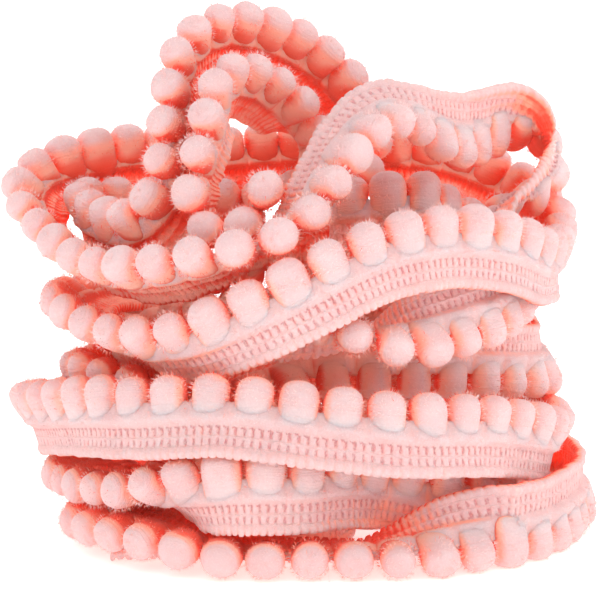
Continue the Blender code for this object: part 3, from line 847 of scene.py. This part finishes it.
def makePompoms(name, start, end, seed):
    # point = centre + lean x rise + along x radius x cos + across x radius x sin, each radius = the
    # ring's x the pompom's own size x slow waves round it + a little at random. One pompom stands
    # half way along each pitch
    rng = np.random.default_rng(seed)
    number = end - start
    centre, along, lean, across = trimFrame(np.arange(start, end) + 0.5)
    sides = pompom["sides"]
    rise, radiusAlong, radiusAcross = np.array(pompom["rings"]).T
    rows = len(rise)
    turn = (2 * np.pi * np.arange(sides) / sides)[None, None]
    ring = np.arange(rows)[None, :, None]
    starts = rng.uniform(0, 2 * np.pi, (number, 3, 1, 1))
    waves = (np.sin(2 * turn + starts[:, 0]) + np.sin(3 * turn + ring + starts[:, 1])
             + np.sin(5 * turn - ring + starts[:, 2]))
    size = rng.normal(1.0, pompom["sizes"], (number, 1, 1)).clip(*pompom["sizeLimits"])
    size = size * fullness(centre)[:, None, None]
    lumps = rng.normal(0, pompom["lumps"], waves.shape) * pompom["radiusLumps"]
    uneven = size * (1 + pompom["waves"] * waves) + lumps
    lumps = rng.normal(0, pompom["lumps"] * pompom["heightLumps"], waves.shape)
    high = rise[None, :, None] * size + lumps
    turn = turn + rng.uniform(0, 2 * np.pi / sides, (number, 1, 1))
    reachAlong = uneven * radiusAlong[None, :, None] * np.cos(turn)
    reachAcross = uneven * radiusAcross[None, :, None] * np.sin(turn)
    rings = (centre[:, None, None] + reachAlong[..., None] * along[:, None, None]
             + reachAcross[..., None] * across[:, None, None]
             + high[..., None] * lean[:, None, None])
    tipRise = pompom["tip"] * size[:, 0] + rng.normal(0, pompom["tipLumps"], (number, 1))
    tips = centre + tipRise * lean
    points = onTable(np.concatenate([rings.reshape(number, -1, 3), tips[:, None]], axis=1))
    each = rows * sides + 1
    side = np.arange(sides)
    last = (rows - 1) * sides
    caps = np.stack([last + side, last + (side + 1) % sides, np.full(sides, each - 1)], axis=1)
    faces = [repeated(group[:, ::-1], number, each)
             for group in (ringGrid(rows, sides), caps, side[None, ::-1])]
    pointRise = np.append(np.repeat(rise, sides), pompom["tip"])
    v = pompom["mapMiddle"] + pointRise / trim["mapLength"]
    uv = np.stack([np.repeat(np.arange(start, end), each), np.tile(v, number)], axis=1)
    piece = meshFrom(name, points.reshape(-1, 3), faces, uv, True, pompomYarn)
    finish = piece.modifiers.new("roundedTufts", "SUBSURF")
    finish.levels = pompom["levels"]
    finish.render_levels = pompom["levels"]
    addShelter(piece)
    return piece


pompomsOuter = makePompoms("pompomsOuter", 0, trim["splitAt"], seed=11)
pompomsInner = makePompoms("pompomsInner", trim["splitAt"], trim["pompoms"], seed=12)
print("pompoms made")

fuzz = {
    # name, first pompom, end and seed of each length
    "lengths": (("fuzzOuter", 0, 96, 21), ("fuzzMiddle", 96, 192, 22), ("fuzzInner", 192, 300, 23)),
    "round": (0.0, 2.094, 4.189),        # turns of the three points round a fibre
    "onPompom": 250,             # short hairs on each pompom
    "steep": (-0.5, 1.0),        # how far down and up its round they stand
    "root": 4.15,                # how far from its centre they start
    "onLobe": 70,                # hairs on each lobe
    "lobePlaces": (0.06, 0.94),
    "lobeRows": (1, 6),          # rows of the tape between which they stand
    "lobeTurn": 1.4,             # how far they turn aside from the lobe's middle
    "lobeRoot": 0.1,             # how deep they start
    "tilt": 0.36,
    "length": (0.5, 1.15),
    "width": 0.15,
}


def threeRound(middle, radius, first, second):
    # the three points round a fibre: middle + radius x (cos x first + sin x second)
    return [middle + radius * (math.cos(turn) * first + math.sin(turn) * second)
            for turn in fuzz["round"]]


def hairSpikes(roots, ways, lengths, width, rng):
    # each hair is a slim closed spike: three points round the root, and the tip at
    # root + way x length
    side = squareTo(ways, rng.normal(0, 1, ways.shape))
    corners = threeRound(roots, width, side, np.cross(ways, side))
    points = np.stack(corners + [roots + ways * lengths[:, None]], axis=1)
    spike = np.array([(0, 1, 3), (1, 2, 3), (2, 0, 3), (0, 2, 1)])
    return points.reshape(-1, 3), repeated(spike, len(roots), 4)


def makeFuzz(name, start, end, seed):
    # hairs point outward with a random tilt, from places spread over each pompom's round and its
    # lobe's two faces
    rng = np.random.default_rng(seed)
    onPompom = np.repeat(np.arange(start, end), fuzz["onPompom"])
    centre, along, lean, across = trimFrame(onPompom + 0.5)
    turn = rng.uniform(0, 2 * np.pi, len(onPompom))
    steep = rng.uniform(*fuzz["steep"], len(onPompom))
    level = np.sqrt(1 - steep ** 2)
    outward = ((level * np.cos(turn))[:, None] * along + (level * np.sin(turn))[:, None] * across
               + steep[:, None] * lean)
    roots = centre + outward * (fuzz["root"] * fullness(centre))[:, None]
    onLobe = np.repeat(np.arange(start, end), fuzz["onLobe"])
    places = onLobe + rng.uniform(*fuzz["lobePlaces"], len(onLobe))
    points = tapePoints(places)[0]
    row = rng.integers(*fuzz["lobeRows"], len(places))
    isBack = rng.random(len(places)) < 0.5
    row = np.where(isBack, points.shape[1] - row, row)
    after = np.where(isBack, row - 1, row + 1)
    mix = rng.random(len(places))[:, None]
    which = np.arange(len(places))
    lobeRoots = points[which, row] * (1 - mix) + points[which, after] * mix
    _, along, _, across = trimFrame(places)
    lobeOutward = (across * np.where(isBack, -1.0, 1.0)[:, None]
                   + along * (fuzz["lobeTurn"] * (places % 1.0 - 0.5))[:, None])
    roots = np.concatenate([roots, lobeRoots - lobeOutward * fuzz["lobeRoot"]])
    ways = np.concatenate([outward, unit(lobeOutward)])
    ways = unit(ways + rng.normal(0, fuzz["tilt"], ways.shape))
    lengths = rng.uniform(*fuzz["length"], len(ways))
    spikes, faces = hairSpikes(roots, ways, lengths, fuzz["width"] / 2, rng)
    piece = meshFrom(name, onTable(spikes), [faces], None, False, looseFibre)
    addShelter(piece, np.repeat(shelter(roots, ways), 4))
    return piece


stray = {
    "fibres": 150,
    "parts": 8,
    "length": (2.5, 6.0),
    "width": 0.09,
    "narrowest": 0.45,           # share of the width left at the end
    "lowShare": 0.35,            # how many start on a foot, the others on a ball
    "rise": (-6.4, 2.6),         # of the root, on a foot and on a ball
    "aside": (0.9, 2.4),
    "up": 0.6,                   # share of the lean in the way it starts, and of chance
    "chance": 0.6,
    "bend": 0.32,
}


def makeStrayFibres(name, seed):
    # each fibre's middle line bends from its root by a turning way: point = sum of steps, the way
    # turned a little more at each. Three points round each step of the line make its thin tube,
    # which narrows to the end
    rng = np.random.default_rng(seed)
    number = stray["fibres"]
    parts = stray["parts"]
    places = rng.uniform(1, trim["pompoms"] - 1, number)
    centre, _, lean, across = trimFrame(places)
    isLow = rng.random(number) < stray["lowShare"]
    start = centre + np.where(isLow, *stray["rise"])[:, None] * lean
    side = np.where(rng.random(number) < 0.5, -1.0, 1.0)[:, None] * across
    start = start + side * np.where(isLow, *stray["aside"])[:, None]
    way = unit(side + stray["up"] * lean + rng.normal(0, stray["chance"], side.shape))
    bend = rng.normal(0, 1, way.shape)
    length = rng.uniform(*stray["length"], number)
    rows = [start]
    for _ in range(parts):
        way = unit(way + np.cross(bend, way) * stray["bend"])
        rows.append(rows[-1] + way * (length / parts)[:, None])
    line = np.stack(rows, axis=1)
    ahead = unit(np.gradient(line, axis=1))
    first = squareTo(ahead.reshape(-1, 3), np.repeat(bend, parts + 1, axis=0)).reshape(line.shape)
    narrowing = np.linspace(1.0, stray["narrowest"], parts + 1)
    radius = (stray["width"] / 2 * narrowing)[None, :, None]
    ring = threeRound(line, radius, first, np.cross(ahead, first))
    points = onTable(np.stack(ring, axis=2).reshape(-1, 3))
    ends = np.array([(2, 1, 0), (3 * parts, 3 * parts + 1, 3 * parts + 2)])
    faces = [repeated(group, number, 3 * (parts + 1)) for group in (ringGrid(parts + 1, 3), ends)]
    return meshFrom(name, points, faces, None, True, looseFibre)


fuzzPieces = [makeFuzz(*length) for length in fuzz["lengths"]]
strayFibres = makeStrayFibres("strayFibres", seed=31)
print("loose fibres made")

pieces = [tapeOuter, tapeInner, pompomsOuter, pompomsInner, *fuzzPieces, strayFibres]
for piece in pieces:
    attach(piece, "root")
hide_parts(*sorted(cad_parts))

studio = {
    "white": (1.0, 1.0, 1.0, 1.0),
    "paper": (0.95, 0.95, 0.95, 1.0),
    "paperRoughness": 0.9,
    "paperGlow": 0.6,
    # the paper in metres: its sides, its front edge, where it bends up, and its top
    "halfWidth": 3.0,
    "front": -1.6,
    "bendStart": 0.9,
    "bendRadius": 0.5,
    "bendSteps": 13,
    "height": 2.6,
    "roomLight": 0.78,
    "lightSize": 0.9,
    "lights": (
        # name, place, power
        ("keyLight", (-0.35, -0.75, 0.95), 3.0),
        ("fillLight", (0.8, -0.45, 0.6), 2.7),
        ("backLight", (0.0, 0.7, 0.9), 2.4),
    ),
    "aim": (0.0, 0.0, 0.05),     # what the lights face
    "cameraPlace": (-0.001, -0.3245, 0.076),
    "cameraTilt": 86.0,
    "lens": 84.12,
    "sensor": 36.0,
    "nearest": 0.01,
}


def makePaper():
    # a sheet of paper that runs level to the back, bends up through a quarter circle and rises
    turns = np.linspace(0, math.pi / 2, studio["bendSteps"])
    start, radius = studio["bendStart"], studio["bendRadius"]
    y = np.concatenate([[studio["front"]], start + radius * np.sin(turns), [start + radius]])
    z = np.concatenate([[0.0], radius * (1 - np.cos(turns)), [studio["height"]]])
    x = np.tile([-studio["halfWidth"], studio["halfWidth"]], len(y))
    points = np.stack([x, np.repeat(y, 2), np.repeat(z, 2)], axis=1) / mm
    at = np.arange(len(y) - 1) * 2
    faces = np.stack([at, at + 1, at + 3, at + 2], axis=1)
    material = bpy.data.materials.new("palePaper")
    material.use_nodes = True
    shader = material.node_tree.nodes["Principled BSDF"]
    shader.inputs["Base Color"].default_value = studio["paper"]
    shader.inputs["Roughness"].default_value = studio["paperRoughness"]
    shader.inputs["Emission Color"].default_value = studio["white"]
    shader.inputs["Emission Strength"].default_value = studio["paperGlow"]
    return meshFrom("paperSweep", points, [faces], None, True, material)


def addLight(name, place, power):
    # a square soft light at place, turned so that it faces the roll
    light = bpy.data.lights.new(name, "AREA")
    light.size = studio["lightSize"]
    light.energy = power
    holder = bpy.data.objects.new(name, light)
    bpy.context.scene.collection.objects.link(holder)
    holder.location = place
    away = np.array(place) - np.array(studio["aim"])
    yaw = math.atan2(away[1], away[0])
    pitch = math.atan2(math.hypot(away[0], away[1]), away[2])
    holder.rotation_euler = (pitch, 0.0, yaw + math.pi / 2)


def makeRoom():
    # the room lights the scene with its own share of white, and is plain white where it is seen
    world = bpy.data.worlds.new("whiteRoom")
    world.use_nodes = True
    room = world.node_tree
    lighting = room.nodes["Background"]
    lighting.inputs[0].default_value = studio["white"]
    lighting.inputs[1].default_value = studio["roomLight"]
    backdrop = addNode(room, "Background", {0: studio["white"], 1: 1.0})
    seen = addNode(room, "LightPath").outputs["Is Camera Ray"]
    mixed = addNode(room, "MixShader", {0: seen, 1: lighting.outputs[0], 2: backdrop.outputs[0]})
    room.links.new(mixed.outputs[0], room.nodes["World Output"].inputs[0])
    return world


def addCamera():
    # a camera before the roll, tipped a little under level
    camera = bpy.data.cameras.new("viewCamera")
    camera.sensor_fit = "HORIZONTAL"
    camera.sensor_width = studio["sensor"]
    camera.lens = studio["lens"]
    camera.clip_start = studio["nearest"]
    holder = bpy.data.objects.new("viewCamera", camera)
    bpy.context.scene.collection.objects.link(holder)
    holder.location = studio["cameraPlace"]
    holder.rotation_euler = (math.radians(studio["cameraTilt"]), 0.0, 0.0)
    return holder


makePaper()
for light in studio["lights"]:
    addLight(*light)
bpy.context.scene.world = makeRoom()
bpy.context.scene.camera = addCamera()
print("table, light and camera set")

# plain tones, so that white stays white and the pale pink keeps its colour
bpy.context.scene.view_settings.view_transform = "Standard"
